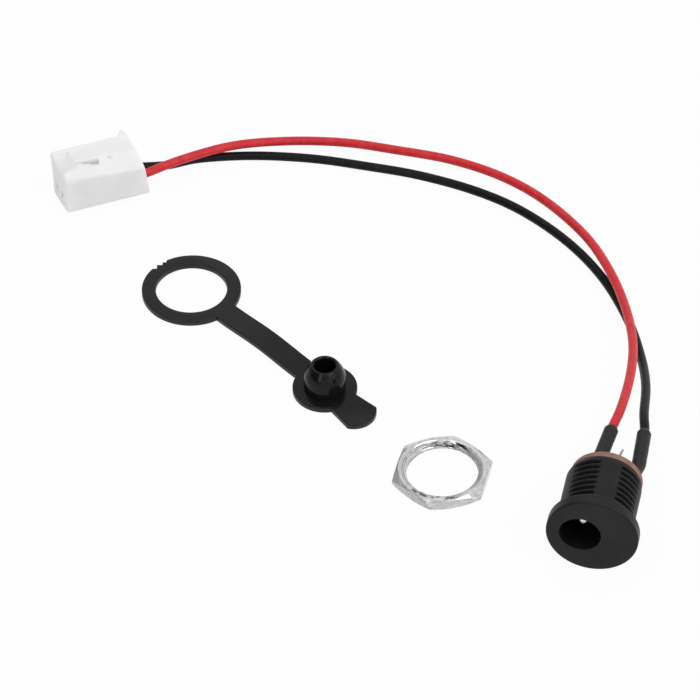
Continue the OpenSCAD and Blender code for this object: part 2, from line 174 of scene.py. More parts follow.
def mouldedBlack(name, shine, roughness, waver, grain, mattFrom=None, cutBelow=None, paleTo=None):
    # black moulded plastic or rubber: fine grain, cloudy sheen, a little dust, more matt behind
    # a place along Y, rougher, paler cut edges below a height, paler partly as a painted reflection
    # of the floor, and paler up to a place along X
    finish, tree, shader, place = newFinish(name, {"Specular IOR Level": shine})
    clouds = tree.cloud(place, mould["clouds"], 4)
    fine = tree.cloud(place, mould["fine"], 2, 0.6)
    dust = tree.cloud(place, mould["dust"], 2).smooth(0.66, 0.8)
    tone = tree.mix(clouds.smooth(0.3, 0.7), mould["deep"], mould["soft"])
    tone = tree.mix(dust * mould["dustShare"], tone, mould["dusty"])
    rough = roughness + clouds.swing(waver) + fine.swing(waver)
    axes = tree.axes(place)
    if mattFrom is not None:
        behind = axes["Y"].smoothMm(mattFrom, mattFrom + mould["mattOver"])
        rough = rough + behind * mould["mattRough"]
    if paleTo is not None:
        beyond = axes["X"].smoothMm(paleTo, paleTo + mould["paleOver"])
        tone = tree.mix(1 - beyond, tone, mould["pale"])
    # partly painted reflection: sides below the height get a paler tone, as if mirroring the floor
    if cutBelow is not None:
        edge = 1 - axes["Z"].smoothMm(cutBelow - mould["cutOver"], cutBelow)
        tone = tree.mix(edge, tone, mould["cut"])
        rough = rough + edge * mould["cutRough"]
    tree.feed(shader, {"Base Color": tone, "Roughness": rough, "Normal": tree.bump(fine, grain, 0.5)})
    return finish


plating = {"clouds": 420, "lines": 2600, "stretch": (1, 9, 9), "pits": 3800, "tarnish": 0.25,
           "pitShade": 0.15, "lineRough": 0.14, "pitRough": 0.12, "depth": 0.004}


def platedMetal(name, colour, shade, roughness):
    # plated metal: cloudy tarnish, fine scratches and pits
    finish, tree, shader, place = newFinish(name, {"Metallic": 1.0})
    clouds = tree.cloud(place, plating["clouds"], 4)
    lines = tree.cloud(tree.stretched(place, plating["stretch"]), plating["lines"], 2, 0.7)
    pits = tree.cloud(place, plating["pits"], 2).smooth(0.62, 0.75)
    shaded = clouds.smooth(0.35, 0.75) * plating["tarnish"] + pits * plating["pitShade"]
    tree.feed(shader, {
        "Base Color": tree.mix(shaded, colour, shade),
        "Roughness": roughness + lines.swing(plating["lineRough"]) + pits * plating["pitRough"],
        "Normal": tree.bump(lines, plating["depth"], 0.6)})
    return finish


nickel = {"streaks": 1100, "stretch": (1, 1, 5), "patches": 520, "bright": 0.69, "worn": 0.35,
          "streakWorn": 0.5, "outer": (0.7, 0.9), "outerWorn": 0.25, "patchWorn": 0.25,
          "front": (-0.537, -0.843), "frontAt": (6.5, 6.9), "frontWorn": 0.3,
          "oil": 0.06, "oilShare": 0.85, "oilEnds": (4.8, 5.5), "oilFade": 0.25,
          "near": (4.5, 6.0), "nearSpread": 0.55, "nearMore": 0.05,
          "right": (1.5, 4.0), "inner": (0.2, 0.4), "rightRough": 0.4,
          "roughness": 0.12, "streakRough": 0.2, "depth": 0.014}


def threadedNickel(name, centre, threadR):
    # bright nickel: rolled streaks, dull patches, a painted dark reflection on the thread's far and near
    # walls, a duller wall on the right of the hole and painted shade on the face at the left front
    finish, tree, shader, place = newFinish(name, {"Metallic": 1.0})
    streaks = tree.cloud(tree.stretched(place, nickel["stretch"]), nickel["streaks"], 3, 0.65)
    patches = tree.cloud(place, nickel["patches"], 3)
    flat = tree.stretched(place, (1, 1, 0))
    middle = (centre[0] * mm, centre[1] * mm, 0)
    away = tree.node("ShaderNodeVectorMath", {0: flat, 1: middle}, operation="DISTANCE")
    axes = tree.axes(flat)
    across = axes["X"] - middle[0]
    aside = axes["Y"] - middle[1]
    near = (aside * -1).smoothMm(*nickel["near"])
    spread = near * (nickel["nearSpread"] * mm) + threadR * mm
    # painted reflection: darker streaks on the far and near walls, for the shadowed wall they mirror
    oil = (streaks + near * nickel["nearMore"]).smooth(0.48, 0.58)
    oil = oil * (1 - (away - spread).smoothMm(0.0, nickel["oilFade"]))
    oil = oil * abs(aside).smoothMm(*nickel["oilEnds"])
    outer = away.smoothMm(*(threadR + out for out in nickel["outer"]))
    inner = 1 - away.smoothMm(*(threadR + out for out in nickel["inner"]))
    right = across.smoothMm(*nickel["right"]) * inner
    # painted shade: the left front face gets more of the darker worn tone; the rest of it is real wear
    front = (across * nickel["front"][0] + aside * nickel["front"][1]).smoothMm(*nickel["frontAt"])
    worn = streaks.smooth(0.35, 0.7) * (nickel["streakWorn"] + outer * nickel["outerWorn"])
    worn = worn + patches.smooth(0.4, 0.7) * nickel["patchWorn"] + front * nickel["frontWorn"]
    tone = tree.mix(worn, grey(nickel["bright"]), grey(nickel["worn"]))
    rough = nickel["roughness"] + streaks.swing(nickel["streakRough"]) + right * nickel["rightRough"]
    tree.feed(shader, {"Base Color": tree.mix(oil * nickel["oilShare"], tone, grey(nickel["oil"])),
                       "Roughness": rough, "Normal": tree.bump(streaks, nickel["depth"], 0.45)})
    return finish


cover = {"drawn": 3, "stretch": (14, 0.35, 1), "dents": 900, "scuffs": 3100, "scuffShare": 0.18,
         "scuffPaler": 0.03, "drawnRough": 0.12, "scuffRough": 0.15, "coat": 0.3, "coatRough": 0.35,
         "drawnShare": 0.4, "depth": 0.015}


def wireInsulation(name, core, light, shine, roughness):
    # extruded insulation: faint draw lines along the wire, dents and scuffs
    finish, tree, shader, place = newFinish(name, {
        "Specular IOR Level": shine, "Coat Roughness": cover["coatRough"]})
    drawn = tree.cloud(tree.stretched(place["UV"], cover["stretch"]), cover["drawn"])
    dents = tree.cloud(place, cover["dents"], 3)
    scuffs = tree.cloud(place, cover["scuffs"], 2).smooth(0.63, 0.78)
    tone = tree.mix(dents.smooth(0.3, 0.72), core, light)
    scuffed = tuple(c + cover["scuffPaler"] for c in light)
    rough = roughness + drawn.swing(cover["drawnRough"]) + scuffs * cover["scuffRough"]
    tree.feed(shader, {
        "Base Color": tree.mix(scuffs * cover["scuffShare"], tone, scuffed), "Roughness": rough,
        "Coat Weight": dents.smooth(0.35, 0.7) * shine * cover["coat"],
        "Normal": tree.bump(drawn * cover["drawnShare"] + dents, cover["depth"], 0.5)})
    return finish


shrunk = {"shine": 0.28, "mottle": 1500, "fine": 6000, "dark": (0.007, 0.0066, 0.0065),
          "light": (0.014, 0.013, 0.0125), "roughness": 0.44, "mottleRough": 0.4, "fineShare": 0.3,
          "depth": 0.06}


def shrunkSleeve(name):
    # heat-shrunk sleeve: soft wrinkles and a mottled satin sheen
    finish, tree, shader, place = newFinish(name, {"Specular IOR Level": shrunk["shine"]})
    mottle = tree.cloud(place, shrunk["mottle"], 3, 0.6)
    fine = tree.cloud(place, shrunk["fine"], 2)
    tree.feed(shader, {"Base Color": tree.mix(mottle.smooth(0.35, 0.7), shrunk["dark"], shrunk["light"]),
                       "Roughness": shrunk["roughness"] + mottle.swing(shrunk["mottleRough"]),
                       "Normal": tree.bump(mottle + fine * shrunk["fineShare"], shrunk["depth"], 0.6)})
    return finish


board = {"shine": 0.3, "fibres": 1500, "stretch": (1, 7, 1), "plies": 750, "waviness": 2.2,
         "patches": 480, "dark": (0.180, 0.085, 0.060), "light": (0.290, 0.160, 0.118),
         "pale": (0.42, 0.27, 0.205), "pliesPale": 0.25, "fibresPale": 0.3, "roughness": 0.66,
         "fibreRough": 0.3, "pliesShare": 0.5, "depth": 0.03}


def paperLaminate(name):
    # brown paper laminate: plies through its thickness, fibres, and a scuffed rim
    finish, tree, shader, place = newFinish(name, {"Specular IOR Level": board["shine"]})
    fibres = tree.cloud(tree.stretched(place, board["stretch"]), board["fibres"], 4, 0.65)
    plies = tree.node("ShaderNodeTexWave", {"Vector": place, "Scale": board["plies"], "Detail": 2,
                                            "Detail Scale": 2, "Distortion": board["waviness"]},
                      bands_direction="Y")
    patches = tree.cloud(place, board["patches"], 3)
    tone = tree.mix(patches.smooth(0.3, 0.7), board["dark"], board["light"])
    paler = plies * board["pliesPale"] + fibres.smooth(0.45, 0.8) * board["fibresPale"]
    tree.feed(shader, {"Base Color": tree.mix(paler, tone, board["pale"]),
                       "Roughness": board["roughness"] + fibres.swing(board["fibreRough"]),
                       "Normal": tree.bump(plies * board["pliesShare"] + fibres, board["depth"], 0.6)})
    return finish


nylon = {"shine": 0.45, "lightReach": 1.2, "lightSpread": (1.0, 0.97, 0.92), "flow": 240, "grain": 4200,
         "milky": (0.87, 0.87, 0.865), "white": (0.92, 0.92, 0.918), "shade": 0.78, "roughness": 0.42,
         "grainRough": 0.2, "depth": 0.015}


def naturalNylon(name):
    # milky nylon: light goes a little way in, with flow clouds, a fine spark-eroded grain, and
    # painted shade in the slot and the notch, where the mesh marks them
    finish, tree, shader, place = newFinish(name, {
        "Subsurface Weight": 1.0, "Subsurface Radius": nylon["lightSpread"],
        "Subsurface Scale": nylon["lightReach"] * mm, "Specular IOR Level": nylon["shine"]})
    flow = tree.cloud(place, nylon["flow"], 4)
    grain = tree.cloud(place, nylon["grain"], 3, 0.6)
    hollow = tree.node("ShaderNodeAttribute", attribute_name="hollow")["Fac"]
    tone = tree.mix(flow.smooth(0.3, 0.72), nylon["milky"], nylon["white"])
    tree.feed(shader, {"Base Color": tree.mix(hollow, tone, grey(nylon["shade"])),
                       "Roughness": nylon["roughness"] + grain.swing(nylon["grainRough"]),
                       "Normal": tree.bump(grain, nylon["depth"], 0.5)})
    return finish


finishes = {
    "socket_plastic": mouldedBlack(
        "blackMoulding", shine=0.21, roughness=0.40, waver=0.14, grain=0.020, mattFrom=-26.0),
    "brown_laminate": paperLaminate("brownLaminate"),
    "nickel_plate": platedMetal("pinNickel", (0.80, 0.79, 0.76), (0.60, 0.58, 0.54), roughness=0.24),
    "tinned_brass": platedMetal("tinPlate", (0.36, 0.355, 0.34), (0.24, 0.235, 0.22), roughness=0.32),
    "spring_brass": platedMetal("springBrass", (0.80, 0.64, 0.36), (0.55, 0.40, 0.20), roughness=0.28),
    "solder": platedMetal("solderGrey", (0.66, 0.67, 0.68), (0.48, 0.48, 0.49), roughness=0.30),
    "heat_shrink": shrunkSleeve("shrunkSleeve"),
    "red_insulation": wireInsulation(
        "redInsulation", (0.58, 0.017, 0.026), (0.68, 0.029, 0.037), shine=0.26, roughness=0.40),
    "black_insulation": wireInsulation(
        "blackInsulation", (0.004, 0.004, 0.0046), (0.007, 0.007, 0.008), shine=0.12, roughness=0.40),
    "white_nylon": naturalNylon("milkyNylon"),
    "nut_nickel": threadedNickel("nutNickel", centre=(11.6, -13.2), threadR=6.1),
    "cap_rubber": mouldedBlack(
        "capRubber", shine=0.17, roughness=0.16, waver=0.06, grain=0.006, cutBelow=0.9, paleTo=-32),
}
slots = {part["node"]: part["material_slot"] for part in frame["record"]["subparts"]}
for node, slot in slots.items():
    mesh = frame["nodes"][node].data
    mesh.materials.clear()
    mesh.materials.append(finishes[slot])
print("materials made:", len(finishes))


# Camera, at the photograph's viewing angle

photoView = {"target": (-8.19, 11.83, 0), "azimuth": 12, "elevation": 43, "distance": 635,
             "focalPixels": 4000, "imagePixels": 700, "sensor": 36}


def addObject(name, data):
    made = bpy.data.objects.new(name, data)
    scene.collection.objects.link(made)
    return made


def aimCamera(plan):
    around = radians(plan["azimuth"])
    above = radians(plan["elevation"])
    away = Vector((sin(around) * cos(above), -cos(around) * cos(above), sin(above)))
    lens = bpy.data.cameras.new("photoCamera")
    lens.sensor_width = plan["sensor"]
    lens.lens = plan["focalPixels"] / plan["imagePixels"] * plan["sensor"]
    camera = addObject("photoCamera", lens)
    camera.location = (Vector(plan["target"]) + away * plan["distance"]) * mm
    camera.rotation_euler = away.to_track_quat("Z", "Y").to_euler()
    scene.camera = camera


aimCamera(photoView)


# Meshes: a skin over rings of points, rounded profiles, and what is done to a finished mesh

def addPiece(name, mesh, node):
    # a piece in the finish of the node that it is for
    piece = addObject(name, mesh)
    mesh.materials.clear()
    mesh.materials.append(finishes[slots[node]])
    for face in mesh.polygons:
        face.use_smooth = True
    return piece


def spaced(start, end, steps):
    return [start + (end - start) * k / steps for k in range(steps + 1)]


def outward(mesh, weld=None):
    # the same mesh with its faces turned outwards, and points that meet joined
    solid = bmesh.new()
    solid.from_mesh(mesh)
    if weld:
        bmesh.ops.remove_doubles(solid, verts=solid.verts, dist=weld)
    bmesh.ops.recalc_face_normals(solid, faces=solid.faces)
    solid.to_mesh(mesh)
    solid.free()
    return mesh


def skin(name, rings, loop=False, lengths=None):
    # a loop joins the last ring to the first, otherwise both ends are capped. Lengths along it, one for
    # each ring, give it a UV map
    count = len(rings[0])
    faces = []
    for row in range(len(rings) if loop else len(rings) - 1):
        here = row * count
        there = (row + 1) % len(rings) * count
        for k in range(count):
            after = (k + 1) % count
            faces.append((here + k, here + after, there + after, there + k))
    if not loop:
        last = (len(rings) - 1) * count
        faces.append(tuple(reversed(range(count))))
        faces.append(tuple(range(last, last + count)))
    mesh = bpy.data.meshes.new(name)
    mesh.from_pydata([tuple(p) for ring in rings for p in ring], [], faces)
    if lengths:
        layer = mesh.uv_layers.new(name="alongWire")
        for face in mesh.polygons:
            for corner, vertex in zip(face.loop_indices, face.vertices):
                layer.data[corner].uv = (vertex % count / count, lengths[vertex // count] / mm)
    return outward(mesh)


def fullTurn(sides):
    return spaced(0, 2 * pi, sides)[:-1]


def circle(radius, depth, sides, shift=0.0):
    return [Vector((shift + radius * cos(turn), radius * sin(turn), depth)) for turn in fullTurn(sides)]


def rounded(profile, radii, steps=4, most=0.45, hold=0.25):
    # a polyline with its inner corners rounded. A round takes no more than a share of each side, and a
    # point just beyond it keeps the side flat
    points = [Vector(p) for p in profile]
    made = points[:1]
    for before, corner, after, radius in zip(points, points[1:], points[2:], radii):
        if not radius:
            made.append(corner)
            continue
        back, ahead = before - corner, after - corner
        reach = min(radius / tan(back.angle(ahead) / 2), back.length * most, ahead.length * most)
        back, ahead = back.normalized() * reach, ahead.normalized() * reach
        first, last = corner + back, corner + ahead
        made.append(first + back * hold)
        for t in spaced(0, 1, steps):
            made.append(first * (1 - t) ** 2 + corner * 2 * t * (1 - t) + last * t ** 2)
        made.append(last + ahead * hold)
    return made + points[-1:]


def ease(t):
    t = min(max(t, 0), 1)
    return t * t * (3 - 2 * t)


def baked(piece):
    # the modifiers' result as a plain mesh
    ready = bpy.context.evaluated_depsgraph_get()
    mesh = bpy.data.meshes.new_from_object(piece.evaluated_get(ready), depsgraph=ready)
    piece.modifiers.clear()
    return mesh


def combine(piece, other, operation):
    # joins the piece with another, or cuts it, and the other is then gone
    seam = piece.modifiers.new("combine", "BOOLEAN")
    seam.operation = operation
    seam.object = other
    seam.solver = "EXACT"
    piece.data = baked(piece)
    bpy.data.objects.remove(other)


def onTable(plan):
    return (Matrix.Translation(Vector((plan["x"], plan["y"], 0)) * mm)
            @ Matrix.Rotation(radians(plan["turn"]), 4, "Z") @ Matrix.Scale(mm, 4))


def stands(piece, node):
    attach(piece, "root")
    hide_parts(node)


# Where things lie, in millimetres, as the part's own source has them

jack = {"x": 37, "y": -27.8, "z": 7, "plateRear": 12.6, "wireStart": 5.8}
leads = {
    "red": {"root": (-1.7, 1.2), "lean": 6.3, "sleeveFrom": 1.0, "sleeveTo": 9.7, "lugLies": True},
    "black": {"root": (4.65, 0.6), "lean": -2, "sleeveFrom": 0.3, "sleeveTo": 10.5, "lugLies": False},
}
connector = {"x": -60.2, "y": 33.3, "width": 7.2, "turn": radians(33.4), "roll": radians(8),
             "length": 13.8, "crimpEnd": 9.5, "cavityUp": 2.3, "cavities": {"red": 2.35, "black": 4.85}}
routes = {
    "red": [(37, 0, 7.8), (37, 9, 6.3), (36, 18, 4.6), (33.5, 27, 3.3), (29.5, 36, 2.6), (24, 45, 1.5),
            (16, 53, 0.8), (8, 57.5, 0.8), (-1, 60, 0.8), (-10.5, 60.5, 0.9), (-19.5, 60, 1.4),
            (-28.5, 57.5, 2.2), (-37, 53.5, 3), (-44.5, 48, 3.2)],
    "black": [(40.5, 0, 6.9), (39.5, 9, 4.2), (37.5, 18, 1.5), (34, 27, 0.8), (28.5, 36, 0.8),
              (21.5, 43.5, 0.8), (13, 49.5, 0.8), (4.5, 53, 0.8), (-5.5, 55, 0.8), (-15, 55.5, 0.8),
              (-24, 55.5, 0.8), (-33.5, 54, 1), (-42, 51, 1.4), (-47, 47.8, 1.7)],
}
intoJack = Matrix.Translation(Vector((jack["x"], jack["y"], jack["z"])) * mm) @ Matrix.Rotation(
    -pi / 2, 4, "X") @ Matrix.Scale(mm, 4)


def leadPoint(lead, distance):
    lean = radians(lead["lean"])
    across, up = lead["root"]
    return Vector((jack["x"] + across + distance * sin(lean),
                   jack["y"] + jack["plateRear"] + distance * cos(lean), jack["z"] + up))


def connectorPoint(along, across, up):
    turn, roll = connector["turn"], connector["roll"]
    side = across * cos(roll) + up * sin(roll)
    return Vector((connector["x"] + along * cos(turn) - side * sin(turn),
                   connector["y"] + along * sin(turn) + side * cos(turn),
                   connector["width"] * sin(roll) - across * sin(roll) + up * cos(roll)))


# Lead connector: the housing's own solid, with its edges worn soft and its top falling to the wires.
# A kept spot is along, inward from the near side, up, and its reach. Each of the hollows is from and to
# along, and from and to inward, and the points deep in it get painted shade

shell = {"grid": 0.13, "softness": 0.5, "rounds": 300, "crispBelow": 0.4, "softAbove": 2.6,
         "atEnd": 0.33, "atWires": 0.08, "lipFrom": 7.0, "atLip": 0.013, "rampTo": 1.5, "rampFade": 2.0,
         "rampLow": 4.5, "rampRise": 1.5,
         "kept": ((3.0, 2.25, 7.6, 0.8), (3.6, 2.2, 7.6, 0.9), (4.8, 2.1, 7.6, 0.9), (6.2, 1.9, 7.6, 1.1),
                  (8.6, 2.35, 7.6, 1.2), (0, 2.35, 2.3, 1.1), (0, 4.85, 2.3, 1.1)),
         "atKept": 0.017, "keptCore": 0.5,
         "hollows": ((3.0, 7.6, 1.7, 2.7), (8.2, 9.1, 1.75, 2.7)), "hollowFrom": 5.0, "hollowTo": 7.4,
         "hollowFade": 0.25, "ridge": 2.8, "sag": 0.88, "sagFrom": 7.0, "sagOver": 5.5, "sagLow": 4.0,
         "sagRise": 3.0}


def wornShare(along, across, up):
    # how much of the smoothing reaches a place, before the kept spots
    share = shell["atEnd"] - (shell["atEnd"] - shell["atWires"]) * ease(along / connector["length"])
    ramp = 1 - ease((along - shell["rampTo"]) / shell["rampFade"])
    share = max(share, ramp * ease((up - shell["rampLow"]) / shell["rampRise"]))
    return shell["atLip"] if across > shell["lipFrom"] else share


def sagAt(along, inward, raised):
    # how far the top has fallen, most on its ridge and at the wires' end
    ridge = shell["ridge"]
    slack = min(inward / ridge, (connector["width"] - inward) / (connector["width"] - ridge))
    slack = max(slack, 0) * min(max((along - shell["sagFrom"]) / shell["sagOver"], 0), 1)
    return shell["sag"] * slack * ease((raised - shell["sagLow"]) / shell["sagRise"])


def connectorShell():
    mesh = frame["nodes"]["connector_housing"].data.copy()
    mesh.transform(Matrix.Scale(1 / mm, 4))
    piece = addPiece("connectorShell", mesh, "connector_housing")
    grid = piece.modifiers.new("grid", "REMESH")
    grid.mode = "VOXEL"
    grid.voxel_size = shell["grid"]
    grid.use_smooth_shade = True
    piece.data = baked(piece)
    turn, roll = connector["turn"], connector["roll"]
    worn = piece.vertex_groups.new(name="worn")
    hollow = [0.0] * len(piece.data.vertices)
    for vertex in piece.data.vertices:
        east, north, up = vertex.co - Vector((connector["x"], connector["y"], 0))
        along = east * cos(turn) + north * sin(turn)
        across = north * cos(turn) - east * sin(turn)
        lifted = up - connector["width"] * sin(roll)
        inward = across * cos(roll) - lifted * sin(roll)
        raised = lifted * cos(roll) + across * sin(roll)
        # painted shade: points deep in the slot and the notch are marked for a darker tone
        for first, last, low, high in shell["hollows"]:
            if first < along < last and low < inward < high and raised > shell["hollowFrom"]:
                hollow[vertex.index] = ease((shell["hollowTo"] - raised) / shell["hollowFade"])
        share = wornShare(along, across, up)
        for *spot, reach in shell["kept"]:  # round the slot, the notch and the entries
            off = (vertex.co - connectorPoint(*spot)).length / reach
            share = min(share, shell["atKept"] + ease(off - shell["keptCore"]))
        height = ease((up - shell["crispBelow"]) / (shell["softAbove"] - shell["crispBelow"]))
        worn.add([vertex.index], height * share, "REPLACE")
        vertex.co.z -= sagAt(along, inward, raised)
    piece.data.attributes.new("hollow", "FLOAT", "POINT").data.foreach_set("value", hollow)
    soft = piece.modifiers.new("soft", "SMOOTH")
    soft.factor = shell["softness"]
    soft.iterations = shell["rounds"]
    soft.vertex_group = worn.name
    piece.data = baked(piece)
    piece.data.transform(Matrix.Scale(mm, 4))
    stands(piece, "connector_housing")
    print("connector:", len(piece.data.polygons), "faces")


connectorShell()


# The two leads

wire = {"diameter": 1.5, "sides": 24, "steps": 6, "waver": 0.012, "dents": 900,
        "carries": {"red": ["connectorShell", "positive_terminal"], "black": ["negative_terminal"]}}


def smoothWay(points, steps):
    # straight in its sleeve and its cavity, and a smooth curve through the points between
    made = [points[0]]
    for a, b, c, d in zip(points, points[1:], points[2:], points[3:]):
        for t in spaced(0, 1, steps)[:-1]:
            made.append((2 * b + (c - a) * t + (2 * a - 5 * b + 4 * c - d) * t ** 2
                         + (3 * b - a - 3 * c + d) * t ** 3) / 2)
    return made + points[-2:]


def wireMesh(name, way):
    rings = []
    lengths = [0.0]
    for before, after in zip(way, way[1:]):
        lengths.append(lengths[-1] + (after - before).length)
    radius = wire["diameter"] / 2
    aside = Vector((0, 0, 1))
    for k, point in enumerate(way):
        ahead = (way[min(k + 1, len(way) - 1)] - way[max(k - 1, 0)]).normalized()
        aside = (aside - ahead * aside.dot(ahead)).normalized()
        above = ahead.cross(aside)
        ring = []
        for turn in fullTurn(wire["sides"]):
            out = aside * cos(turn) + above * sin(turn)
            dent = noise.noise((point + out * radius * mm) * wire["dents"])
            swell = 1 - wire["waver"] * (0.5 + 0.5 * dent)
            ring.append(point + out * radius * mm * swell)
        rings.append(ring)
    return skin(name, rings, lengths=lengths), lengths[-1]


def layLead(colour, lead):
    points = [leadPoint(lead, jack["wireStart"]), leadPoint(lead, lead["sleeveTo"])]
    points += [Vector(p) for p in routes[colour]]
    cavity = connector["cavities"][colour]
    for end in ("length", "crimpEnd"):
        points.append(connectorPoint(connector[end], cavity, connector["cavityUp"]))
    way = smoothWay([p * mm for p in points], wire["steps"])
    mesh, length = wireMesh(colour + "Lead", way)
    piece = addPiece(colour + "Lead", mesh, colour + "_wire")
    stands(piece, colour + "_wire")
    print(colour, "lead:", round(length / mm, 1), "mm")


for colour, lead in leads.items():
    layLead(colour, lead)


# Screw threads: a tree that draws a helical groove into a round wall along Z

wallWithin = 0.02  # a point this near the crest's radius is on the wall


def threadTree():
    group = bpy.data.node_groups.new("cutThread", "GeometryNodeTree")
    sizes = ("Crest radius", "Groove depth", "Pitch", "Crest share", "Start", "End", "Fade", "Strip width",
             "Side width", "Strip angle", "Strip fade")
    sockets = [("Geometry", "INPUT", "Geometry")] + [(size, "INPUT", "Float") for size in sizes]
    sockets += [("Finish", "INPUT", "Material"), ("Geometry", "OUTPUT", "Geometry")]
    for name, way, kind in sockets:
        group.interface.new_socket(name, in_out=way, socket_type="NodeSocket" + kind)
    tree = Tree(group)
    given = tree.node("NodeGroupInput")
    point = tree.axes(tree.node("GeometryNodeInputPosition"))
    x, y, z = point["X"], point["Y"], point["Z"]
    radius = tree.maths("SQRT", x * x + y * y)
    angle = tree.maths("ARCTAN2", y, x)
    turns = z / given["Pitch"] - angle / (2 * pi)
    groove = 0.5 - 0.5 * tree.maths("COSINE", turns * (2 * pi))
    groove = groove.smooth(given["Crest share"], 1.0)  # flat crests, round roots
    begun = z.smooth(given["Start"], given["Start"] + given["Fade"])
    ended = z.smooth(given["End"] - given["Fade"], given["End"])
    turned = angle - given["Strip angle"]
    cut = 1.0
    for wave, width in (("SINE", "Strip width"), ("COSINE", "Side width")):  # four plain strips
        away = abs(tree.maths(wave, turned)) * given["Crest radius"]
        cut = (away - given[width] / 2).smooth(0.0, given["Strip fade"]) * cut
    onWall = tree.maths("COMPARE", radius, given["Crest radius"], wallWithin)
    sunk = given["Groove depth"] * groove * begun * (1 - ended) * cut * onWall
    scale = 1 - sunk / radius
    moved = tree.node("ShaderNodeCombineXYZ", {0: x * scale, 1: y * scale, 2: z})
    made = tree.node("GeometryNodeSetPosition", {"Geometry": given["Geometry"], "Position": moved})
    made = tree.node("GeometryNodeRealizeInstances", {"Geometry": made})
    made = tree.node("GeometryNodeSetMaterial", {"Geometry": made, "Material": given["Finish"]})
    tree.node("NodeGroupOutput", {"Geometry": made})
    return group


threads = threadTree()


def cutThread(piece, sizes):
    bench = piece.modifiers.new("thread", "NODES")
    bench.node_group = threads
    for item in threads.interface.items_tree:
        if item.in_out == "INPUT" and item.name in sizes:
            bench[item.identifier] = float(sizes[item.name])
        if item.in_out == "INPUT" and item.name == "Finish":
            bench[item.identifier] = piece.data.materials[0]
    piece.data = baked(piece)


# Socket body: flange, threaded barrel, and the plug mouth off its centre

body = {"faceR": 4.6, "flangeR": 7.0, "flangeT": 1.9, "edge": 0.3, "rearEdge": 0.2, "root": 0.25,
        "barrelR": 5.8, "length": 11.6, "rearChamfer": 0.8, "rearR": 5.55, "rearRound": 0.1, "innerR": 5.3,
        "mouthR": 3.15, "mouthLength": 2.6, "mouthEdge": 0.08, "mouthSteps": 5, "chamberR": 3.4,
        "shift": -1.8, "sides": 288, "longRun": 4, "rowStep": 0.055, "roomFront": 3.2, "roomX": 5.0,
        "roomZ": (-0.45, 1.65), "sharp": 50}
bodyThread = {"Crest radius": 5.8, "Groove depth": 0.75, "Pitch": 1.1, "Crest share": 0.06, "Start": 2.9,
              "End": 11.3, "Fade": 0.5, "Strip width": 2.6, "Side width": 5.6,
              "Strip angle": radians(-79.5), "Strip fade": 1.0}


def bodyRings():
    sides, shift, length = body["sides"], body["shift"], body["length"]
    barrel, flange, thick = body["barrelR"], body["flangeR"], body["flangeT"]
    outside = rounded(
        [(body["faceR"], 0), (flange, 0), (flange, thick), (barrel, thick),
         (barrel, length - body["rearChamfer"]), (body["rearR"], length), (body["innerR"], length)],
        [body["edge"], body["rearEdge"], body["root"], 0, body["rearRound"]])[1:-1]
    rings = []
    for turn in spaced(0, pi / 2, body["mouthSteps"]):  # the mouth's rounded edge
        rings.append(circle(body["mouthR"] + body["mouthEdge"] * (1 - cos(turn)),
                            body["mouthEdge"] * (1 - sin(turn)), sides, shift))
    before = outside[0]
    for point in outside:
        run = point[1] - before[1]
        if run > body["longRun"]:  # rows for the thread along the barrel
            rows = round(run / body["rowStep"])
            rings += [circle(barrel, depth, sides) for depth in spaced(before[1], point[1], rows)[1:-1]]
        rings.append(circle(point[0], point[1], sides))
        before = point
    for radius, depth in ((body["chamberR"], length), (body["chamberR"], body["mouthLength"]),
                          (body["mouthR"], body["mouthLength"])):
        rings.append(circle(radius, depth, sides, shift))
    return rings


def springRoom():
    low, high = body["roomZ"]
    shift, length = body["shift"], body["length"]
    mesh = bpy.data.meshes.new("springRoom")
    box = bmesh.new()
    bmesh.ops.create_cube(box, size=1)
    bmesh.ops.scale(box, verts=box.verts, vec=(body["roomX"] - shift, high - low, length))
    bmesh.ops.translate(box, verts=box.verts, vec=((body["roomX"] + shift) / 2, -(high + low) / 2,
                                                   body["roomFront"] + length / 2))
    box.to_mesh(mesh)
    box.free()
    return addObject("springRoom", mesh)


def socketBody():
    piece = addPiece("socketBody", skin("socketBody", bodyRings(), loop=True), "jack_body")
    cutThread(piece, bodyThread)
    combine(piece, springRoom(), "DIFFERENCE")
    piece.data.transform(intoJack)
    piece.data.set_sharp_from_angle(angle=radians(body["sharp"]))
    stands(piece, "jack_body")
    print("socket body:", len(piece.data.polygons), "faces")


socketBody()


# Centre pin: a rounded tip that shows in the mouth, a collar and a riveted tail

pin = {"radius": 1.05, "tip": 2.75, "tipFlat": 0.25, "tipDome": 1.3, "tipSteps": 12, "centreR": 0.02,
       "collarR": 1.6, "collarT": 0.6, "tailR": 0.6, "plate": 11.6, "strip": 0.3, "rivetR": 0.9,
       "rivetT": 0.4, "plateT": 1.0, "sides": 64, "edges": (0.1, 0.1, 0.05, 0, 0, 0.05, 0.2), "edgeSteps": 6}


def centrePin():
    plate, collar = pin["plate"], pin["collarT"]
    rear = plate + pin["plateT"] + pin["strip"]
    end = rear + pin["rivetT"]
    profile = [(pin["centreR"], pin["tip"])]
    profile += [(pin["tipFlat"] + (pin["radius"] - pin["tipFlat"]) * sin(t),
                 pin["tip"] + pin["tipDome"] * (1 - cos(t))) for t in spaced(0, pi / 2, pin["tipSteps"])]
    profile += rounded(
        [(pin["radius"], plate - 2 * collar), (pin["radius"], plate - collar),
         (pin["collarR"], plate - collar), (pin["collarR"], plate), (pin["tailR"], plate),
         (pin["tailR"], rear), (pin["rivetR"], rear), (pin["rivetR"], end), (pin["centreR"], end)],
        pin["edges"], steps=pin["edgeSteps"])
    mesh = skin("centrePin", [circle(r, depth, pin["sides"], body["shift"]) for r, depth in profile])
    mesh.transform(intoJack)
    piece = addPiece("centrePin", mesh, "centre_pin")
    stands(piece, "centre_pin")


centrePin()


# Heat-shrunk sleeves: flat over the lug, round over the solder, drawn in on the wire

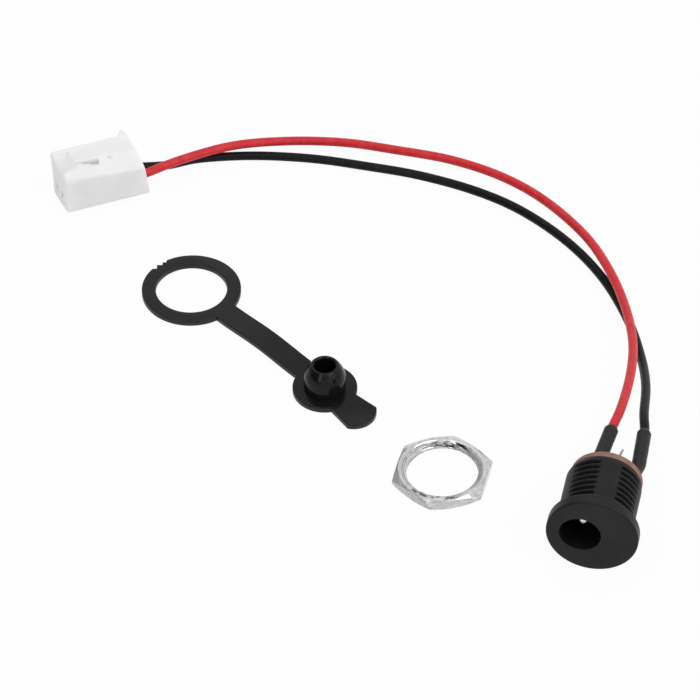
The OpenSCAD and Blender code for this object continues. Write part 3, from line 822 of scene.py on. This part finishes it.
sleeve = {"radius": 1.125, "wall": 0.2, "endWall": 0.05, "taper": 0.55, "mouthR": 0.80, "flat": 0.50,
          "wide": 1.06, "roundAt": 3.6, "rows": 56, "taperRows": 5, "sides": 48, "waver": 0.025,
          "dentsAround": 1.1, "dentsAlong": 0.9, "fullAt": 0.4, "sharp": 18}


def sleeveSize(lead, distance):
    # half width and half height of the sleeve behind the back plate, how far it is drawn in, and its wall
    radius, wall, endWall = sleeve["radius"], sleeve["wall"], sleeve["endWall"]
    grown = ease((distance - lead["sleeveFrom"]) / (sleeve["roundAt"] - lead["sleeveFrom"]))
    thin = sleeve["flat"] + (radius - sleeve["flat"]) * grown
    wide = sleeve["wide"] + (radius - sleeve["wide"]) * grown
    neck = max(0, (distance - lead["sleeveTo"] + sleeve["taper"]) / sleeve["taper"])
    shrink = (sleeve["mouthR"] + endWall - radius) * neck
    return ((wide, thin) if lead["lugLies"] else (thin, wide)), shrink, wall + (endWall - wall) * neck


def shrinkSleeve(colour, lead):
    lean = radians(lead["lean"])
    aside = Vector((cos(lean), -sin(lean), 0))
    outer, inner = [], []
    shoulder = lead["sleeveTo"] - sleeve["taper"]
    distances = spaced(lead["sleeveFrom"], shoulder, sleeve["rows"])[:-1]
    distances += spaced(shoulder, lead["sleeveTo"], sleeve["taperRows"])
    around, lengthways = sleeve["dentsAround"], sleeve["dentsAlong"]
    for distance in distances:
        (wide, high), shrink, wall = sleeveSize(lead, distance)
        wide, high = wide + shrink, high + shrink
        middle = leadPoint(lead, distance)
        ring, lining = [], []
        for turn in fullTurn(sleeve["sides"]):
            across, up = cos(turn), sin(turn)
            dent = noise.noise(Vector((across * around + lead["lean"], up * around, distance * lengthways)))
            swell = 1 + sleeve["waver"] * (dent - sleeve["fullAt"])
            rise = Vector((0, 0, up))
            ring.append((middle + (aside * across * wide + rise * high) * swell) * mm)
            lining.append((middle + aside * across * (wide - wall) + rise * (high - wall)) * mm)
        outer.append(ring)
        inner.append(lining)
    mesh = skin(colour + "Sleeve", outer + inner[::-1], loop=True)
    piece = addPiece(colour + "Sleeve", mesh, colour + "_heat_shrink")
    piece.data.set_sharp_from_angle(angle=radians(sleeve["sharp"]))
    stands(piece, colour + "_heat_shrink")


for colour, lead in leads.items():
    shrinkSleeve(colour, lead)
print("sleeves made")


# Panel nut: a chamfered hexagon with a fine thread

nut = {"x": 11.6, "y": -13.2, "turn": 27.5, "flats": 14.0, "thick": 1.9, "holeR": 5.55, "sinkR": 6.35,
       "sinkT": 0.4, "faceR": 6.8, "chamfer": 30, "cornerRound": 0.25, "edgeRound": 0.07, "edgeSteps": 3,
       "sides": 360, "rows": 36}
nutThread = {"Crest radius": 5.55, "Groove depth": -0.42, "Pitch": 0.75, "Crest share": 0.1, "Start": -0.2,
             "End": 2.1, "Fade": 0.1, "Strip width": -2.0, "Side width": -2.0, "Strip angle": 0.0,
             "Strip fade": 0.1}


def hexagonRadius(turn, flats, corner):
    # distance from the centre to a hexagon with rounded corners, along a ray
    inset = flats / 2 - corner
    off = turn % (pi / 3) - pi / 6
    if abs(flats / 2 * tan(off)) <= inset * tan(pi / 6):
        return flats / 2 / cos(off)
    middle = inset / cos(pi / 6)
    side = pi / 6 - abs(off)
    return middle * cos(side) + sqrt(corner ** 2 - (middle * sin(side)) ** 2)


def panelNut():
    slope = tan(radians(nut["chamfer"]))
    hole, sunk, thick, rows = nut["holeR"], nut["sinkT"], nut["thick"], nut["rows"]
    wall = thick - 2 * sunk
    bore = [(hole, thick - sunk - wall * row / rows) for row in range(1, rows)]
    columns = []
    for turn in fullTurn(nut["sides"]):
        reach = hexagonRadius(turn, nut["flats"], nut["cornerRound"])
        fall = (reach - nut["faceR"]) * slope
        half = [(hole, sunk), (nut["sinkR"], 0), (nut["faceR"], 0), (reach, fall)]
        outline = half + [(r, thick - h) for r, h in reversed(half)]
        middle = [(hole, thick / 2)]
        profile = rounded(middle + outline + middle, [0] + [nut["edgeRound"]] * 6 + [0], nut["edgeSteps"])
        columns.append([Vector((r * cos(turn), r * sin(turn), h)) for r, h in profile[1:-1] + bore])
    rings = [list(ring) for ring in zip(*columns)]
    piece = addPiece("panelNut", skin("panelNut", rings, loop=True), "panel_nut")
    cutThread(piece, nutThread)
    piece.data.transform(onTable(nut))
    stands(piece, "panel_nut")
    print("panel nut:", len(piece.data.polygons), "faces")


panelNut()


# Dust cap: ring, strap, disc and pull tab cut from one sheet, with a hollow plug on the disc.
# A tear is given by its angle round the ring and how far outside the rim it is centred

cap = {"x": -36, "y": 19.8, "turn": -34.7, "sheet": 1.0, "edge": 0.14, "edgeSteps": 3, "ringR": 8.0,
       "holeR": 5.75, "rimSteps": 720, "tear": 0.55, "tears": ((136.5, 0.15), (143, 0), (152, 0)),
       "strapW": 4.0, "strapShift": 0.4, "strapLength": 31.5, "strapRise": 0.4, "strapSteps": 24,
       "discR": 5.1, "tabLength": 10.5, "tabRootW": 4.0, "tabEndW": 6.4, "tabEndR": 3.6, "tabTurn": -2.5,
       "tabStep": 3, "weld": 0.0005, "sharp": 40}
plug = {"rootR": 3.325, "sunk": 0.4, "sideR": 3.25, "sideH": 2.45, "rimR": 2.15, "height": 4.5,
        "bulge": 0.35, "bulgeSteps": 16, "holeR": 1.72, "holeDepth": 4.0, "holeEnd": 0.3, "lip": 0.1,
        "centreR": 0.05, "sides": 128}


def arc(middle, radius, start, end, step=2.0):
    count = max(2, ceil(abs(end - start) / radians(step)))
    return [Vector((middle[0] + radius * cos(t), middle[1] + radius * sin(t)))
            for t in spaced(start, end, count)]


def tornRim(turn):
    # the ring's rim, with a sharp notch wherever its edge is torn
    reach = cap["ringR"]
    for angle, beyond in cap["tears"]:
        middle = cap["ringR"] + beyond
        off = turn - radians(angle - cap["turn"])
        side = middle * sin(off)
        if abs(side) < cap["tear"] and cos(off) > 0:
            reach = min(reach, middle * cos(off) - cap["tear"] + abs(side))
    return reach


def tabOutline(disc):
    # the pull tab's edge, from the disc's rim round its end and back
    ends = []
    middle = Vector((cap["tabLength"] - cap["tabEndR"], 0))
    for side in (-1, 1):  # its lower and upper edges
        root = Vector((0, side * cap["tabRootW"] / 2))
        along = Vector((cap["tabLength"], side * cap["tabEndW"] / 2)) - root
        along.normalize()
        back = root.dot(along)
        out = root + along * (sqrt(back ** 2 - root.length_squared + cap["discR"] ** 2) - back)
        back = (root - middle).dot(along)
        inside = back ** 2 - (root - middle).length_squared + cap["tabEndR"] ** 2
        ends.append((out, root + along * (sqrt(inside) - back)))
    (outLow, farLow), (outHigh, farHigh) = ends
    firstTurn, lastTurn = (atan2(far[1], far[0] - middle[0]) for far in (farLow, farHigh))
    end = arc(middle, cap["tabEndR"], firstTurn, lastTurn, cap["tabStep"])[1:-1]
    swing = Matrix.Rotation(radians(cap["tabTurn"]), 2)
    return [swing @ p + disc for p in [outLow, farLow] + end + [farHigh, outHigh]]


def capOutline():
    low, high = cap["strapShift"] - cap["strapW"] / 2, cap["strapShift"] + cap["strapW"] / 2
    ring, discR = cap["ringR"], cap["discR"]
    disc = Vector((cap["strapLength"], 0))
    tab = tabOutline(disc)
    lowTurn, highTurn = (atan2(edge, -sqrt(discR ** 2 - edge ** 2)) for edge in (low, high))
    firstTab, lastTab = (atan2(p[1], p[0] - disc[0]) for p in (tab[0], tab[-1]))
    outline = arc(disc, discR, lowTurn, firstTab)[:-1] + tab + arc(disc, discR, lastTab, highTurn)[1:]
    start, end = asin(high / ring), 2 * pi + asin(low / ring)
    for angle in spaced(start, end, cap["rimSteps"]):
        reach = tornRim(angle)
        outline.append(Vector((reach * cos(angle), reach * sin(angle))))
    return outline


def capSheet():
    flat = bpy.data.curves.new("capSheet", "CURVE")
    flat.dimensions = "2D"
    flat.fill_mode = "BOTH"
    flat.extrude = cap["sheet"] / 2 - cap["edge"]
    flat.bevel_depth = cap["edge"]
    flat.bevel_resolution = cap["edgeSteps"]
    flat.offset = -cap["edge"]
    for outline in (capOutline(), arc((0, 0), cap["holeR"], 0, 2 * pi)[:-1]):
        spline = flat.splines.new("POLY")
        spline.points.add(len(outline) - 1)
        for point, (x, y) in zip(spline.points, outline):
            point.co = (x, y, 0, 1)
        spline.use_cyclic_u = True
    sheet = addObject("capSheet", flat)
    mesh = baked(sheet)
    bpy.data.objects.remove(sheet)
    mesh.transform(Matrix.Translation((0, 0, cap["sheet"] / 2)))
    return mesh


def capPlug():
    sheet, bulge, hole = cap["sheet"], plug["bulge"], plug["holeR"]
    foot = sheet * plug["sunk"]
    shoulder = sheet + plug["sideH"]
    top = sheet + plug["height"]
    bottom = top - plug["holeDepth"]
    profile = [(plug["centreR"], foot), (plug["rootR"], foot), (plug["rootR"], sheet)]
    for t in spaced(0, pi / 2, plug["bulgeSteps"]):  # a cone that bulges a little
        inward = (1 - bulge) * (1 - t * 2 / pi) + bulge * cos(t)
        upward = (1 - bulge) * t * 2 / pi + bulge * sin(t)
        profile.append((plug["rimR"] + (plug["sideR"] - plug["rimR"]) * inward,
                        shoulder + (top - shoulder) * upward))
    profile += [(hole + plug["lip"], top), (hole, top - plug["lip"]), (hole, bottom + plug["holeEnd"]),
                (hole - plug["holeEnd"], bottom), (plug["centreR"], bottom)]
    mesh = skin("capPlug", [circle(r, h, plug["sides"]) for r, h in profile])
    mesh.transform(Matrix.Translation((cap["strapLength"], 0, 0)))
    return mesh


def archStrap(mesh):
    # the strap lifts a little off the table between the ring and the disc
    first, last = cap["ringR"], cap["strapLength"] - cap["discR"]
    solid = bmesh.new()
    solid.from_mesh(mesh)
    for along in spaced(first, last, cap["strapSteps"]):
        everything = solid.verts[:] + solid.edges[:] + solid.faces[:]
        bmesh.ops.bisect_plane(solid, geom=everything, plane_co=(along, 0, 0), plane_no=(1, 0, 0))
    for vertex in solid.verts:
        along = min(max((vertex.co.x - first) / (last - first), 0), 1)
        vertex.co.z += cap["strapRise"] * sin(pi * along) ** 2
    solid.to_mesh(mesh)
    solid.free()


def dustCap():
    piece = addPiece("dustCap", outward(capSheet(), cap["weld"]), "dust_cap")
    combine(piece, addPiece("capPlug", capPlug(), "dust_cap"), "UNION")
    archStrap(piece.data)
    piece.data.transform(onTable(cap))
    piece.data.set_sharp_from_angle(angle=radians(cap["sharp"]))
    stands(piece, "dust_cap")
    print("dust cap:", len(piece.data.polygons), "faces")


dustCap()


# Floor, light and world, in metres

studio = {"floor": 3.0, "floorGlow": 0.95, "floorTone": 0.86,
          "lamps": {"keySoftbox": {"power": 1.35, "size": 0.45, "place": (0.42, -0.20, 0.55)},
                    "topSoftbox": {"power": 0.70, "size": 0.6, "place": (-0.1, 0.15, 0.7)}}}


def paleFloor():
    half = studio["floor"] / 2
    mesh = bpy.data.meshes.new("floor")
    corners = [(-half, -half, 0), (half, -half, 0), (half, half, 0), (-half, half, 0)]
    mesh.from_pydata(corners, [], [(0, 1, 2, 3)])
    finish = bpy.data.materials.new("paleFloor")
    tree = emptyTree(finish)
    path = tree.node("ShaderNodeLightPath")
    seen = tree.maths("MAXIMUM", path["Is Camera Ray"], path["Is Transmission Ray"])
    seen = tree.maths("MAXIMUM", seen, path["Is Glossy Ray"])
    paint = tree.node("ShaderNodeBsdfDiffuse", {"Color": (*grey(studio["floorTone"]), 1)})
    white = tree.node("ShaderNodeEmission", {"Color": (1, 1, 1, 1), "Strength": 1.0})
    both = tree.node("ShaderNodeMixShader", {0: seen * studio["floorGlow"], 1: paint, 2: white})
    tree.node("ShaderNodeOutputMaterial", {"Surface": both})
    mesh.materials.append(finish)
    addObject("floor", mesh)


def softLight(name, plan):
    lamp = bpy.data.lights.new(name, "AREA")
    lamp.energy = plan["power"]
    lamp.size = plan["size"]
    light = addObject(name, lamp)
    light.location = plan["place"]
    light.rotation_euler = Vector(plan["place"]).to_track_quat("Z", "Y").to_euler()


# The room gives a plain light. Shiny things mirror a brighter one, dim on the left, with a dark patch
# at the left front, a tall bright stripe in front and a bright patch on the right

room = {"front": (0.53, 0.53, 0.535), "back": 0.70, "backWay": (0, 0.8, 0.6), "backAt": (-0.7, 0.35),
        "bright": 0.95, "leftAt": (0.25, 0.8), "leftFront": (0.12, 0.12, 0.122),
        "leftBack": (0.45, 0.45, 0.455), "leftBackAt": (-0.3, 0.4), "leftAbove": 0.70,
        "leftAboveAt": (0.3, 0.8),
        "dark": 0.03, "darkWay": (-0.45, -0.80, 0.40), "darkAt": (0.80, 0.94),
        "stripe": 2.6, "stripeWay": (0.961, -0.276, 0), "stripeAt": (0.10, 0.20), "stripeFront": (0.3, 0.45),
        "stripeAbove": (0.06, 0.2), "right": 1.6, "rightWay": (0.86, -0.42, 0.28), "rightAt": (0.86, 0.94)}


def studioWorld():
    scene.world = bpy.data.worlds.new("studio")
    tree = emptyTree(scene.world)
    path = tree.node("ShaderNodeLightPath")
    sky = tree.axes(tree.node("ShaderNodeTexCoord")["Generated"])

    def towards(way):
        return sky["X"] * way[0] + sky["Y"] * way[1] + sky["Z"] * way[2]

    back = towards(room["backWay"]).smooth(*room["backAt"])
    light = tree.mix(back, room["front"], grey(room["back"]))
    left = tree.mix(sky["Y"].smooth(*room["leftBackAt"]), room["leftFront"], room["leftBack"])
    left = tree.mix(sky["Z"].smooth(*room["leftAboveAt"]) * back, left, grey(room["leftAbove"]))
    gloss = tree.mix((sky["X"] * -1).smooth(*room["leftAt"]), grey(room["bright"]), left)
    gloss = tree.mix(towards(room["darkWay"]).smooth(*room["darkAt"]), gloss, grey(room["dark"]))
    stripe = 1 - abs(towards(room["stripeWay"])).smooth(*room["stripeAt"])
    stripe = stripe * (sky["Y"] * -1).smooth(*room["stripeFront"]) * sky["Z"].smooth(*room["stripeAbove"])
    gloss = tree.mix(stripe, gloss, grey(room["stripe"]))
    gloss = tree.mix(towards(room["rightWay"]).smooth(*room["rightAt"]), gloss, grey(room["right"]))
    both = tree.mix(path["Is Glossy Ray"], light, gloss)
    both = tree.mix(path["Is Camera Ray"], both, grey(1))
    glow = tree.node("ShaderNodeBackground", {"Color": both, "Strength": 1.0})
    tree.node("ShaderNodeOutputWorld", {"Surface": glow})


paleFloor()
for name, plan in studio["lamps"].items():
    softLight(name, plan)
studioWorld()
print("studio lit")
